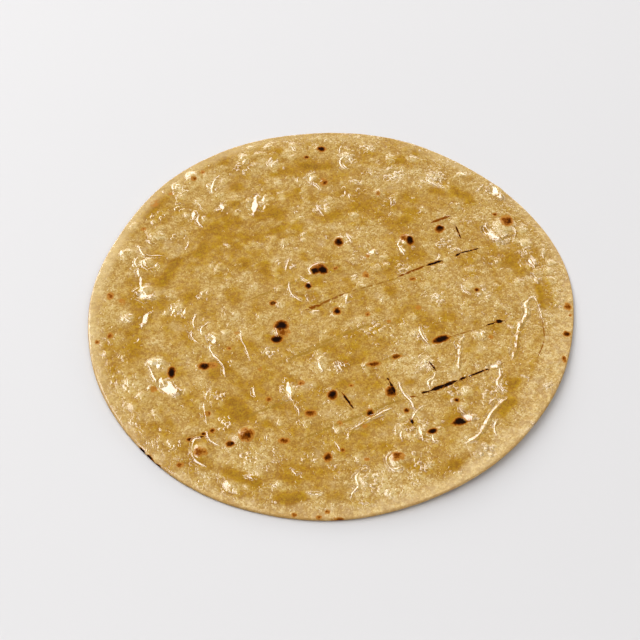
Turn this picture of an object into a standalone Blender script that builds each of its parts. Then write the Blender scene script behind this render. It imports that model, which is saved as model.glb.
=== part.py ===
"""A roti: one thin, round flatbread rolled by hand, lying flat with its blistered side up.

X runs across the bread, Y from front to back, Z up. The origin is on the surface that the
bread rests on, under the middle of its outline. Lengths are in metres.
"""

import math

import bmesh
import bpy
from mathutils import Vector, noise

MM = 0.001

# The outline: a circle of this radius, and how it departs from one where the rolling was uneven.
MEAN_RADIUS = 95.85 * MM
# (waves round the edge, height of a wave, direction of a crest in degrees from +X)
OUTLINE_WAVES = (
    (1, 0.81 * MM, 135),
    (2, 2.07 * MM, 81),
    (3, 0.85 * MM, -1),
    (4, 0.52 * MM, 17),
    (5, 0.12 * MM, 30),
    (6, 0.31 * MM, 11),
    (7, 0.19 * MM, 21),
    (11, 0.13 * MM, 10),
)

# The sheet is an even thickness, and thins over a band along the edge.
SHEET_THICKNESS = 1.8 * MM
EDGE_THICKNESS = 1.2 * MM
EDGE_BAND = 0.12  # share of the radius
EDGE_ROUNDING = 0.4 * MM
EDGE_ROUNDING_STEPS = 2

# The edge lifts off the surface in places, as cooked bread curls while it cools.
CURL_START = 0.60  # share of the radius inside which the bread lies flat
# (direction in degrees, half width of the lifted stretch in degrees, lift of the edge)
CURLS = (
    (-38, 62, 2.6 * MM),
    (62, 55, 1.6 * MM),
    (168, 66, 1.9 * MM),
)

# Low unevenness of both faces, from the dough's own lumps: (size of a lump, height)
UPPER_LUMPS = ((24 * MM, 0.30 * MM), (10 * MM, 0.16 * MM))
UNDER_LUMPS = (17 * MM, 0.55 * MM)
UPPER_SEED = Vector((3.7, 1.9, 0.0))
UNDER_SEED = Vector((11.3, 7.1, 4.0))

# The under face stands a hair off the surface, and touches it at the middle of three low bulges
# between the curls: (direction in degrees, share of the radius)
UNDER_CLEARANCE = 0.2 * MM
RESTING_BULGES = ((17, 0.66), (111, 0.70), (248, 0.68))
BULGE_RADIUS = 15 * MM

# Blisters raised by steam on the upper face: (x, y, radius, height), all in millimetres.
BLISTERS = (
    # back left, where they stand closest
    (-8.4, 70.1, 3.6, 0.8),
    (-58.8, 70.7, 4.0, 0.8),
    (-37.1, 81.2, 2.8, 0.5),
    (-24.6, 78.4, 2.8, 0.5),
    (-44.7, 67.7, 2.8, 0.5),
    (-55.3, 55.2, 3.0, 0.6),
    (-70.8, 35.2, 4.4, 0.7),
    (-80.7, 40.8, 3.0, 0.6),
    (-83.0, 25.8, 3.0, 0.5),
    (-44.5, 19.2, 3.0, 0.5),
    (-19.1, 32.4, 2.6, 0.5),
    # left edge and front left
    (-73.1, 21.1, 3.4, 0.8),
    (-73.6, 6.0, 3.8, 0.8),
    (-78.6, -7.9, 3.0, 0.6),
    (-45.4, -16.6, 2.8, 0.5),
    (-66.5, -29.4, 4.4, 0.8),
    (-62.7, -39.8, 3.8, 0.8),
    (-81.7, -46.7, 3.0, 0.4),
    (-47.5, -69.3, 4.8, 0.9),
    (-30.6, -62.1, 4.6, 0.8),
    # middle
    (-5.0, 17.6, 4.2, 0.8),
    (-19.5, -13.9, 4.2, 0.7),
    (3.2, 33.8, 3.2, 0.6),
    (30.4, 33.8, 4.4, 0.9),
    (44.1, 40.2, 3.0, 0.5),
    (19.8, 61.1, 2.8, 0.5),
    (-4.4, -31.1, 3.0, 0.5),
    (-15.4, -42.7, 3.8, 0.6),
    (0.0, -44.4, 2.8, 0.5),
    (20.9, -42.6, 3.0, 0.5),
    # back right and right edge
    (6.6, 82.5, 3.8, 0.7),
    (30.4, 86.8, 2.6, 0.4),
    (43.7, 69.8, 3.6, 0.7),
    (69.7, 62.3, 3.6, 0.7),
    (70.1, 40.5, 6.2, 1.1),
    (78.5, 31.8, 3.0, 0.6),
    (53.7, 8.6, 3.0, 0.5),
    (81.7, 16.0, 3.0, 0.5),
    # front right
    (57.3, -15.8, 2.8, 0.5),
    (35.7, -28.5, 3.0, 0.5),
    (37.0, -38.9, 3.2, 0.6),
    (49.3, -43.0, 4.0, 0.7),
    (22.9, -72.7, 5.2, 0.9),
    (9.8, -81.5, 3.8, 0.6),
    (31.5, -60.8, 2.8, 0.5),
)

# The mesh: rings of triangles across the whole bread, then smaller ones on each blister.
RINGS = 24
BLISTER_PASSES = 2
BLISTER_MARGIN = 1.15  # how far past its foot a blister's small triangles reach, in its radii
LONGEST_EDGE_ON_BLISTER = 1.7 * MM

BREAD_COLOUR = (0.55, 0.33, 0.10, 1.0)
BREAD_ROUGHNESS = 0.45


def empty_scene():
    for obj in list(bpy.data.objects):
        bpy.data.objects.remove(obj)


def smooth(share):
    """0 up to share 0, 1 from share 1, and an even S between them."""
    share = min(max(share, 0.0), 1.0)
    return share * share * (3.0 - 2.0 * share)


def outline_radius(angle):
    return MEAN_RADIUS + sum(
        height * math.cos(waves * (angle - math.radians(crest)))
        for waves, height, crest in OUTLINE_WAVES
    )


def hexagon_share(x, y):
    """How far out a point of a unit hexagon lies: 0 at its centre, 1 all along its edge."""
    flats = (0.0, math.radians(60), math.radians(120))
    across = max(abs(x * math.cos(a) + y * math.sin(a)) for a in flats)
    return across / math.cos(math.radians(30))


def edge_share(x, y):
    """How far out a point of the bread lies: 0 in the middle, 1 at the edge."""
    return math.hypot(x, y) / outline_radius(math.atan2(y, x))


def curl(x, y):
    """How far the bread is lifted off the surface at a point."""
    outwards = max(edge_share(x, y) - CURL_START, 0.0) / (1.0 - CURL_START)
    angle = math.degrees(math.atan2(y, x))
    lift = 0.0
    for direction, half_width, height in CURLS:
        turn = abs((angle - direction + 180) % 360 - 180)
        lift += height * smooth(1.0 - turn / half_width)
    return lift * outwards**2


def lumps(x, y, size, height, seed):
    return height * noise.noise(Vector((x, y, 0.0)) / size + seed)


def bulge_share(x, y, centres):
    """1 at the middle of a resting bulge, falling to 0 at its foot."""
    near = min((math.hypot(x - cx, y - cy) for cx, cy in centres)) / BULGE_RADIUS
    return (1.0 - near * near) ** 2 if near < 1.0 else 0.0


def under_height(x, y, bulges):
    """Height of the under face, with shallow hollows between the places that bear the bread."""
    hollow = max(lumps(x, y, *UNDER_LUMPS, UNDER_SEED), 0.0)
    return (UNDER_CLEARANCE + curl(x, y) + hollow) * (1.0 - bulge_share(x, y, bulges))


def thickness(x, y):
    inwards = smooth((1.0 - edge_share(x, y)) / EDGE_BAND)
    return EDGE_THICKNESS + (SHEET_THICKNESS - EDGE_THICKNESS) * inwards


def blister_height(x, y):
    """How far the blisters raise the upper face at a point: each is a dome with a soft foot."""
    raised = 0.0
    for centre_x, centre_y, radius, height in BLISTERS:
        away = math.hypot(x - centre_x * MM, y - centre_y * MM) / (radius * MM)
        if away < 1.0:
            raised += height * MM * (1.0 - away * away) ** 2
    return raised


def upper_height(x, y):
    uneven = sum(lumps(x, y, size, height, UPPER_SEED) for size, height in UPPER_LUMPS)
    return UNDER_CLEARANCE + curl(x, y) + thickness(x, y) + uneven + blister_height(x, y)


def make_round_sheet(mesh):
    """A flat sheet of even triangles with the bread's outline."""
    bmesh.ops.create_circle(mesh, cap_ends=True, cap_tris=True, segments=6, radius=1.0)
    bmesh.ops.subdivide_edges(mesh, edges=mesh.edges[:], cuts=RINGS - 1, use_grid_fill=True)
    for vert in mesh.verts:
        x, y = vert.co.xy
        angle = math.atan2(y, x)
        radius = hexagon_share(x, y) * outline_radius(angle)
        vert.co = (radius * math.cos(angle), radius * math.sin(angle), 0.0)


def on_blister(point):
    return any(
        math.hypot(point.x - x * MM, point.y - y * MM) < radius * MM * BLISTER_MARGIN
        for x, y, radius, _ in BLISTERS
    )


def extrude_upwards(mesh):
    """Makes a flat solid of the sheet: its under face at height 0, its upper face above."""
    made = bmesh.ops.extrude_face_region(mesh, geom=mesh.faces[:], use_keep_orig=True)
    for item in made["geom"]:
        if isinstance(item, bmesh.types.BMVert):
            item.co.z = SHEET_THICKNESS
    bmesh.ops.recalc_face_normals(mesh, faces=mesh.faces[:])


def is_upper(edge):
    return all(vert.co.z > SHEET_THICKNESS / 2 for vert in edge.verts)


def refine_blisters(mesh):
    """Halves the upper edges that are too long to draw a blister's dome."""
    for _ in range(BLISTER_PASSES):
        long_edges = [
            edge
            for edge in mesh.edges
            if edge.calc_length() > LONGEST_EDGE_ON_BLISTER
            and is_upper(edge)
            and on_blister((edge.verts[0].co + edge.verts[1].co) / 2)
        ]
        bmesh.ops.subdivide_edges(mesh, edges=long_edges, cuts=1, use_grid_fill=True)
        bmesh.ops.triangulate(mesh, faces=mesh.faces[:])


def bulge_centres(mesh):
    """Where the bread bears: the mesh's own points that are nearest to the places named above."""
    under = [vert.co.xy for vert in mesh.verts if vert.co.z < SHEET_THICKNESS / 2]
    centres = []
    for direction, share in RESTING_BULGES:
        angle = math.radians(direction)
        place = Vector((math.cos(angle), math.sin(angle))) * share * outline_radius(angle)
        centres.append(tuple(min(under, key=lambda point: (point - place).length)))
    return centres


def give_relief(mesh):
    """Moves each point of the flat solid up or down to the face that it lies on."""
    bulges = bulge_centres(mesh)
    for vert in mesh.verts:
        x, y, z = vert.co
        is_under = z < SHEET_THICKNESS / 2
        vert.co.z = under_height(x, y, bulges) if is_under else upper_height(x, y)


def round_the_edge(mesh):
    """Bevels the two sharp edges that run round the bread."""
    corner = math.radians(50)
    sharp = [edge for edge in mesh.edges if edge.calc_face_angle(0.0) > corner]
    bmesh.ops.bevel(
        mesh,
        geom=sharp,
        offset=EDGE_ROUNDING,
        segments=EDGE_ROUNDING_STEPS,
        profile=0.5,
        affect="EDGES",
    )
    bmesh.ops.triangulate(mesh, faces=mesh.faces[:])


def centre_on_origin(mesh):
    """Puts the middle of the outline's box over the origin, and the lowest point at height 0."""
    for axis in range(3):
        low = min(vert.co[axis] for vert in mesh.verts)
        high = max(vert.co[axis] for vert in mesh.verts)
        middle = (low + high) / 2 if axis < 2 else low
        for vert in mesh.verts:
            vert.co[axis] -= middle


def bread_material():
    material = bpy.data.materials.new("roti_crust")
    material.use_nodes = True
    surface = material.node_tree.nodes["Principled BSDF"]
    surface.inputs["Base Color"].default_value = BREAD_COLOUR
    surface.inputs["Roughness"].default_value = BREAD_ROUGHNESS
    surface.inputs["Metallic"].default_value = 0.0
    return material


def make_roti(collection):
    mesh = bmesh.new()
    make_round_sheet(mesh)
    extrude_upwards(mesh)
    refine_blisters(mesh)
    give_relief(mesh)
    round_the_edge(mesh)
    centre_on_origin(mesh)
    data = bpy.data.meshes.new("roti")
    mesh.to_mesh(data)
    mesh.free()
    data.materials.append(bread_material())
    data.shade_smooth()
    roti = bpy.data.objects.new("roti", data)
    collection.objects.link(roti)


def main():
    empty_scene()
    collection = bpy.data.collections.new("roti")
    bpy.context.scene.collection.children.link(collection)
    make_roti(collection)


main()
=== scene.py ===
# %% [markdown]
# # A roti, brushed with melted ghee
#
# A roti is a ball of wheat dough that is rolled thin and cooked on a hot, dry griddle. Steam
# blows blisters in it, the griddle toasts the blisters and draws straight dark lines, and
# melted ghee is brushed over the top while it is still hot. This lesson starts from the CAD
# model, which has the right outline, thickness and large blisters, and adds what the eye sees
# close up: small bumps, the shiny film of ghee between them, and the toasted colours.

# %% Load the CAD model
import math
import random

import bpy
import numpy as np
from mathutils import Matrix, Vector, noise
from mathutils.bvhtree import BVHTree


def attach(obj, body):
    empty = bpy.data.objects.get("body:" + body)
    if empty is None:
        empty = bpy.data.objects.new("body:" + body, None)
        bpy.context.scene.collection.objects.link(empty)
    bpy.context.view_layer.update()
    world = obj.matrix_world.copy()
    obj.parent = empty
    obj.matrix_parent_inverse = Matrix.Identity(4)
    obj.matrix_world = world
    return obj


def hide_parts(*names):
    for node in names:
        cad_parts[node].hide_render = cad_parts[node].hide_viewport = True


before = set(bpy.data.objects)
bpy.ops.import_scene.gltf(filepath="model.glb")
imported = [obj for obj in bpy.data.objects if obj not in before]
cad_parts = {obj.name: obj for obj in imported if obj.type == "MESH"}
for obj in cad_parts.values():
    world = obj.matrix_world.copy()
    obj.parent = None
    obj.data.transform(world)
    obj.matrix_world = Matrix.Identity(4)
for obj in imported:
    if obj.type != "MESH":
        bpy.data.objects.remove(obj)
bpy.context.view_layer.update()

MM = 0.001
cad_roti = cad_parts["roti"]

# %% [markdown]
# ## A smooth copy of the CAD shape
#
# The CAD solid is made of flat triangles about 4 mm long, which would show as facets under a
# glossy film. We never touch the CAD mesh itself. We copy it, merge the corners that its
# triangles share, and let a Subdivision Surface modifier round it. The copy is only a guide:
# our own finer mesh will read its heights from it, and then the copy is deleted.

# %% Make the guide
MERGE_DISTANCE = 0.001 * MM
GUIDE_LEVELS = 2


def select_only(obj):
    bpy.ops.object.select_all(action="DESELECT")
    obj.select_set(True)
    bpy.context.view_layer.objects.active = obj


def apply_modifier(obj, kind, **settings):
    """Adds a modifier, gives it these settings and applies it."""
    modifier = obj.modifiers.new(kind.title(), kind)
    for name, value in settings.items():
        setattr(modifier, name, value)
    select_only(obj)
    bpy.ops.object.modifier_apply(modifier=modifier.name)


guide = bpy.data.objects.new("guide", cad_roti.data.copy())
bpy.context.collection.objects.link(guide)
select_only(guide)
bpy.ops.object.mode_set(mode="EDIT")
bpy.ops.mesh.select_all(action="SELECT")
bpy.ops.mesh.remove_doubles(threshold=MERGE_DISTANCE)
bpy.ops.object.mode_set(mode="OBJECT")
apply_modifier(guide, "SUBSURF", levels=GUIDE_LEVELS, render_levels=GUIDE_LEVELS)
print("guide:", len(guide.data.polygons), "faces")

# %% [markdown]
# The outline is measured once, from the CAD mesh: the bread's round is cut into even wedges, like
# a cake, and the furthest corner in each wedge is kept. Between two of them the radius is drawn
# straight. Everything that follows the edge asks for its radius from here.

# %% Measure its outline
OUTLINE_STEPS = 120


def corners(mesh):
    """The places of a mesh's vertices, one row each."""
    places = np.empty(len(mesh.vertices) * 3)
    mesh.vertices.foreach_get("co", places)
    return places.reshape(-1, 3)


def measure_outline(places):
    """The largest radius that the vertices reach in each direction, and those directions."""
    angle = np.arctan2(places[:, 1], places[:, 0])
    radius = np.hypot(places[:, 0], places[:, 1])
    wedge = ((angle + math.pi) / (2 * math.pi) * OUTLINE_STEPS).astype(int) % OUTLINE_STEPS
    furthest = [np.flatnonzero(wedge == i)[radius[wedge == i].argmax()]
                for i in range(OUTLINE_STEPS)]
    return angle[furthest], radius[furthest]


outline_angles, outline_radii = measure_outline(corners(cad_roti.data))


def outline_radius(angle):
    return np.interp(angle, outline_angles, outline_radii, period=2 * math.pi)


print("radius: %.1f to %.1f mm" % (outline_radii.min() / MM, outline_radii.max() / MM))

# %% [markdown]
# ## A round sheet of even triangles
#
# The bread's face needs small triangles of one size everywhere, so that bumps and ghee look the
# same in the middle and at the edge. A circle filled with a fan has thin slivers in the middle,
# and a square grid has a ragged edge. A hexagon solves both: it is filled with six triangles,
# and subdividing those gives thousands of equal ones in neat rings. Pushing every ring outwards
# until it follows the bread's outline then makes the hexagon round.

# %% Helpers for a hexagon and its rings
def add_hexagon_sheet(name, cuts):
    """A flat hexagon, its corners a metre from its middle, subdivided once for each of cuts."""
    bpy.ops.object.select_all(action="DESELECT")
    bpy.ops.mesh.primitive_circle_add(vertices=6, radius=1.0, fill_type="TRIFAN")
    sheet = bpy.context.object
    sheet.name = name
    bpy.ops.object.mode_set(mode="EDIT")
    for number in cuts:
        bpy.ops.mesh.select_all(action="SELECT")
        bpy.ops.mesh.subdivide(number_cuts=number)
    bpy.ops.object.mode_set(mode="OBJECT")
    print(name, "has", len(sheet.data.polygons), "triangles")
    return sheet


def hexagon_share(x, y):
    """How far out a point lies: 0 at the centre of the hexagon, 1 all along its edge."""
    flats = (0.0, math.radians(60), math.radians(120))
    across = [np.abs(x * math.cos(flat) + y * math.sin(flat)) for flat in flats]
    return np.max(across, axis=0) / math.cos(math.radians(30))


def set_corners(mesh, x, y, z):
    mesh.vertices.foreach_set("co", np.stack([x, y, z], axis=1).ravel())
    mesh.update()


# %% [markdown]
# The upper sheet rolls over the edge: its last rings are packed close together and follow a
# quarter circle down the side, as the rim of a real roti is soft and round. The heights come
# from rays: one is dropped on the guide from above for every vertex. Close to the rim a ray
# could miss the guide, so there it falls a little further in.

# %% The upper sheet
UPPER_CUTS = (10, 14)  # 11 x 15 = 165 rings
RIM_RINGS = 6
RIM_ROUNDING = 0.55 * MM
SIDE_SHARE = 0.75  # how far down the bread's side the upper sheet reaches
RAY_MARGIN = 1.6 * MM
RAY_HEIGHT = 30 * MM


def guide_heights(x, y, from_above):
    """The height of the guide's upper or under face at each place."""
    tree = BVHTree.FromObject(guide, bpy.context.evaluated_depsgraph_get())
    angle, radius = np.arctan2(y, x), np.hypot(x, y)
    inside = np.minimum(radius, outline_radius(angle) - RAY_MARGIN)
    ray_x, ray_y = inside * np.cos(angle), inside * np.sin(angle)
    start, way = (RAY_HEIGHT, -1) if from_above else (-RAY_HEIGHT, 1)
    down = Vector((0, 0, way))
    return np.array([tree.ray_cast(Vector((px, py, start)), down)[0].z
                     for px, py in zip(ray_x.tolist(), ray_y.tolist())])


upper = add_hexagon_sheet("roti_bread", UPPER_CUTS)
rings = math.prod(cuts + 1 for cuts in UPPER_CUTS)
hexagon = corners(upper.data)
angle = np.arctan2(hexagon[:, 1], hexagon[:, 0])
share = hexagon_share(hexagon[:, 0], hexagon[:, 1])
rim_start = 1 - RIM_RINGS / rings
edge = outline_radius(angle)
rolled = np.clip((share - rim_start) / (1 - rim_start), 0, 1) * math.pi / 2
radius = np.minimum(share / rim_start, 1) * (edge - RIM_ROUNDING) + RIM_ROUNDING * np.sin(rolled)
x, y = radius * np.cos(angle), radius * np.sin(angle)
bread_z = guide_heights(x, y, from_above=True)
thickness = bread_z - guide_heights(x, y, from_above=False)
side = thickness * SIDE_SHARE
print("thickness: %.2f to %.2f mm" % (thickness.min() / MM, thickness.max() / MM))

# %% [markdown]
# ## A rule for places on the face
#
# Blisters, pools and spots are put where the real bread has them, so from here on every vertex
# has a place in millimetres, to the right of a middle point and behind it. Noise is looked up by
# the same places. It gives soft hills that never repeat, and moving the places by it before
# anything round is drawn makes the round thing wander, as dough does.

# %% A rule for places on the face
# Every place read off the photograph is in millimetres from this point of the frame.
MEASURED_FROM = (-0.15, -0.50)
WARP = 0.55  # mm that an outline wanders, so that no two bumps or drops are alike

px_mm, py_mm = x / MM - MEASURED_FROM[0], y / MM - MEASURED_FROM[1]


def lumpiness(size, offset):
    """Soft random hills over the sheet, from -1 to 1, that are size millimetres across."""
    offset = Vector(offset)
    return np.array([noise.noise(Vector((px / size, py / size, 0)) + offset)
                     for px, py in zip(px_mm.tolist(), py_mm.tolist())])


warp_x = px_mm + WARP * lumpiness(1.7, (7, 1, 3)) + 2 * WARP * lumpiness(4.5, (2, 1, 9))
warp_y = py_mm + WARP * lumpiness(1.7, (1, 8, 6)) + 2 * WARP * lumpiness(4.5, (5, 3, 2))
print("outlines wander by up to %.1f mm" % np.hypot(warp_x - px_mm, warp_y - py_mm).max())

# %% [markdown]
# ## Small bumps
#
# Between the large blisters the face is covered in bumps one to four millimetres across, close
# together at the back left and rarer in the middle. They are raised as low domes. A dome whose
# height falls off as (1 - d²)² has no crease at its top or foot, so it looks like skin that
# steam has lifted. Here we work out how high the bread stands at each vertex, and nothing is
# moved yet, because the ghee has to know the bumps first. The larger ones stand where they stand
# on the real bread, and the rest are thrown like dice, more of them where it has more.

# %% Raise the domes
PIMPLE_SEED = 11
PIMPLE_COUNT = 650
PIMPLE_FIELD = (95, 98)  # mm to the side and to the back of the middle that they may fall
PIMPLE_REACH = 92        # mm from the middle to the furthest
PIMPLE_RADIUS, LARGEST_ADDS = 1.1, 2.0    # mm
PIMPLE_HEIGHT, TALLEST_ADDS = 0.10, 0.28  # mm
TALLER = 0.003           # how much taller they are with each millimetre further to the right
# Where they crowd: (x, y and reach in mm, how much likelier)
CROWDED = ((-45, 45, 55, 0.75), (78, 25, 30, 0.35))
SCATTERED = 0.18         # how likely they are anywhere


def dome(centre_x, centre_y, radius, height):
    """Adds one dome to the bumps, with sizes in millimetres."""
    near = np.flatnonzero((np.abs(warp_x - centre_x) < radius)
                          & (np.abs(warp_y - centre_y) < radius))
    away = ((warp_x[near] - centre_x) ** 2 + (warp_y[near] - centre_y) ** 2) / radius**2
    bumps[near] = np.maximum(bumps[near], height * np.clip(1 - away, 0, None) ** 2)


def crowding(cx, cy):
    """How likely a bump is at a place, from 0 to 1."""
    likely = SCATTERED
    for middle_x, middle_y, reach, likelier in CROWDED:
        away = (cx - middle_x) ** 2 + (cy - middle_y) ** 2
        likely += likelier * math.exp(-away / reach**2)
    return min(likely, 1.0)


# Blisters that the CAD model leaves out: (x, y, radius) in mm
SMALL_BLISTERS = (
    (55, 71, 2.5), (26.5, -62.5, 2.2), (36.5, -63.5, 2.2), (88, 21.5, 2.4), (62.5, -38.5, 2),
    (-47.5, -30.5, 2), (-27.5, 88.5, 1.8), (-35, 88.5, 1.8), (-32.5, 77.5, 1.8), (-16, 89.5, 1.8),
    (-11.5, 34, 1.6), (-42, 30.5, 1.8), (-35.5, 32, 1.5), (-29.5, 30.5, 1.5), (-36, 20.5, 1.5),
    (-60.5, -3.5, 2), (25, 82.5, 1.6), (10, 67.5, 1.8), (1.5, 18.5, 1.5), (5.5, 3.5, 1.9),
    (19, 2.5, 1.6), (72.5, 10, 1.6), (68.5, -6.5, 1.6), (49, -18, 1.6), (-66.5, -41, 1.8),
    (-58, -5, 1.5), (64.5, 23.5, 1.8), (16.5, 27, 1.9), (57, -16.5, 1.6),
)
BLISTER_SLOPE = 0.24  # height of a blister as a share of its radius

bumps = np.zeros(len(x))
for cx, cy, size in SMALL_BLISTERS:
    dome(cx, cy, size, size * BLISTER_SLOPE)
dice = random.Random(PIMPLE_SEED)
made = 0
while made < PIMPLE_COUNT:
    cx, cy = (dice.uniform(-reach, reach) for reach in PIMPLE_FIELD)
    size = dice.uniform(0, 1) ** 2
    if math.hypot(cx, cy) < PIMPLE_REACH and dice.random() < crowding(cx, cy):
        height = (PIMPLE_HEIGHT + TALLEST_ADDS * size) * (1 + TALLER * cx)
        dome(cx, cy, PIMPLE_RADIUS + LARGEST_ADDS * size, height)
        made += 1
print("bumps reach %.2f mm" % bumps.max())

# %% [markdown]
# ## Paths across the bread
#
# Trails of ghee, golden pools and the griddle's lines all follow paths. Each path is a few points
# read off the photograph in millimetres. A helper rounds the path into short straight
# pieces and then tells every vertex how far it is from the path, on which side, and how far
# along. Whatever follows the path, such as a ridge or a dark line, is worked out from that.

# %% A helper for paths
PIECES_PER_SPAN = 6
REACH = 6.0  # mm: vertices further away are skipped


def round_path(points):
    """Many points on a smooth curve through a few of them (a Catmull-Rom spline)."""
    points = np.array(points, float)
    if len(points) == 2:
        return points
    ends = np.vstack([2 * points[0] - points[1], points, 2 * points[-1] - points[-2]])
    made = []
    for p0, p1, p2, p3 in zip(ends, ends[1:], ends[2:], ends[3:]):
        for t in np.arange(PIECES_PER_SPAN) / PIECES_PER_SPAN:
            made.append(0.5 * (2 * p1 + (p2 - p0) * t + (2 * p0 - 5 * p1 + 4 * p2 - p3) * t**2
                               + (3 * p1 - p0 - 3 * p2 + p3) * t**3))
    return np.array(made + [points[-1]])


def beside_path(points, reach=REACH):
    """The vertices near a path, how far each is to its left in mm (less than 0 on the right),
    and how far along it from 0 to 1."""
    path = round_path(points)
    low, high = path.min(axis=0) - reach, path.max(axis=0) + reach
    near = np.flatnonzero((px_mm > low[0]) & (px_mm < high[0])
                          & (py_mm > low[1]) & (py_mm < high[1]))
    place = np.stack([px_mm[near], py_mm[near]], axis=1)
    steps = np.linalg.norm(np.diff(path, axis=0), axis=1)
    starts = np.concatenate([[0], np.cumsum(steps)])
    best = np.full(len(near), np.inf)
    offset, along = np.zeros(len(near)), np.zeros(len(near))
    for start, end, length, before in zip(path, path[1:], steps, starts):
        way = (end - start) / length
        across = np.array([-way[1], way[0]])
        run = np.clip((place - start) @ way, 0, length)
        gap = place - start - run[:, None] * way
        distance = np.linalg.norm(gap, axis=1)
        closer = distance < best
        best[closer] = distance[closer]
        side_of = np.sign(gap @ across)
        offset[closer] = (distance * side_of)[closer]
        along[closer] = ((before + run) / starts[-1])[closer]
    return near, offset, along


def ease(value, low, high):
    """0 below low, 1 above high, and an even S between them."""
    share = np.clip((value - low) / (high - low), 0, 1)
    return share * share * (3 - 2 * share)


def oval(cx, cy, long_half, wide_half, turn, at_x, at_y):
    """How far places are from the middle of a turned oval: 1 on its outline."""
    cos, sin = math.cos(math.radians(turn)), math.sin(math.radians(turn))
    dx, dy = at_x - cx, at_y - cy
    return np.hypot((dx * cos + dy * sin) / long_half, (dy * cos - dx * sin) / wide_half)


def around(cx, cy, reach):
    """The vertices in a square that reaches this many millimetres to each side of a place."""
    return np.flatnonzero((np.abs(px_mm - cx) < reach) & (np.abs(py_mm - cy) < reach))


# %% [markdown]
# ## The film of ghee
#
# Liquid finds its own level. It fills the hollows, leaves the tops of the bumps bare, and climbs
# a little way up each bump in a curved rim called a meniscus, which is what catches the light.
# Its level is made by copying the sheet and smoothing the copy until the bumps are gone. The
# surface that shows is the higher of the two, bread or level, with a small fillet between them.
# Some places hold more ghee than others: pools and streaks are added to the level one by one. The
# thin edge was brushed least. It is dry and floury there, and paler still at its very rim.

# %% How dry the edge is
# The dry, floury band along the edge: (direction in degrees, width in mm)
DRY_BAND = (
    (-180, -2), (-150, -1), (-135, 0), (-115, 2), (-90, 4.5), (-70, 5), (-50, 6), (-30, 9),
    (-8, 8), (10, 2), (30, 0), (60, -3), (150, -3),
)
DRY_FADE = 2.2    # mm over which the band fades, either way
DRY_WANDER = 4.0  # mm that its inner edge wanders
# How pale the thin edge is: (direction in degrees, share)
PALE_EDGE = (
    (-180, 0.55), (-165, 0.50), (-150, 0.22), (-135, 0.25), (-120, 0.08), (-90, 0.10), (-75, 0.35),
    (-60, 0.48), (-45, 0.28), (-30, 0.05), (0, 0.12), (30, 0.35), (45, 0.20), (60, 0.58),
    (75, 0.12), (90, 0.28), (105, 0.40), (120, 0.58), (135, 0.45), (150, 0.65), (165, 0.88),
)
PALE_FROM, PALE_TO = 0.932, 0.982  # where it sets in and is full, as shares of the way out


def by_direction(table):
    """A number for every vertex, from a table of directions and numbers."""
    return np.interp(np.degrees(angle), *zip(*table), period=360)


broad = lumpiness(20, (5, 9, 1))
middling = lumpiness(7, (10, 18, 2))
out = np.hypot(x, y) / edge  # 0 in the middle, 1 at the edge
from_edge = (1 - out) * edge / MM
wandering_edge = from_edge - DRY_WANDER * (middling + 0.5 * broad)
dryness = ease(by_direction(DRY_BAND) - wandering_edge, -DRY_FADE, DRY_FADE)
pale_edge = by_direction(PALE_EDGE) * ease(out, PALE_FROM, PALE_TO)
print("dry: %.0f%% of the vertices" % (100 * (dryness > 0.5).mean()))

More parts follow.
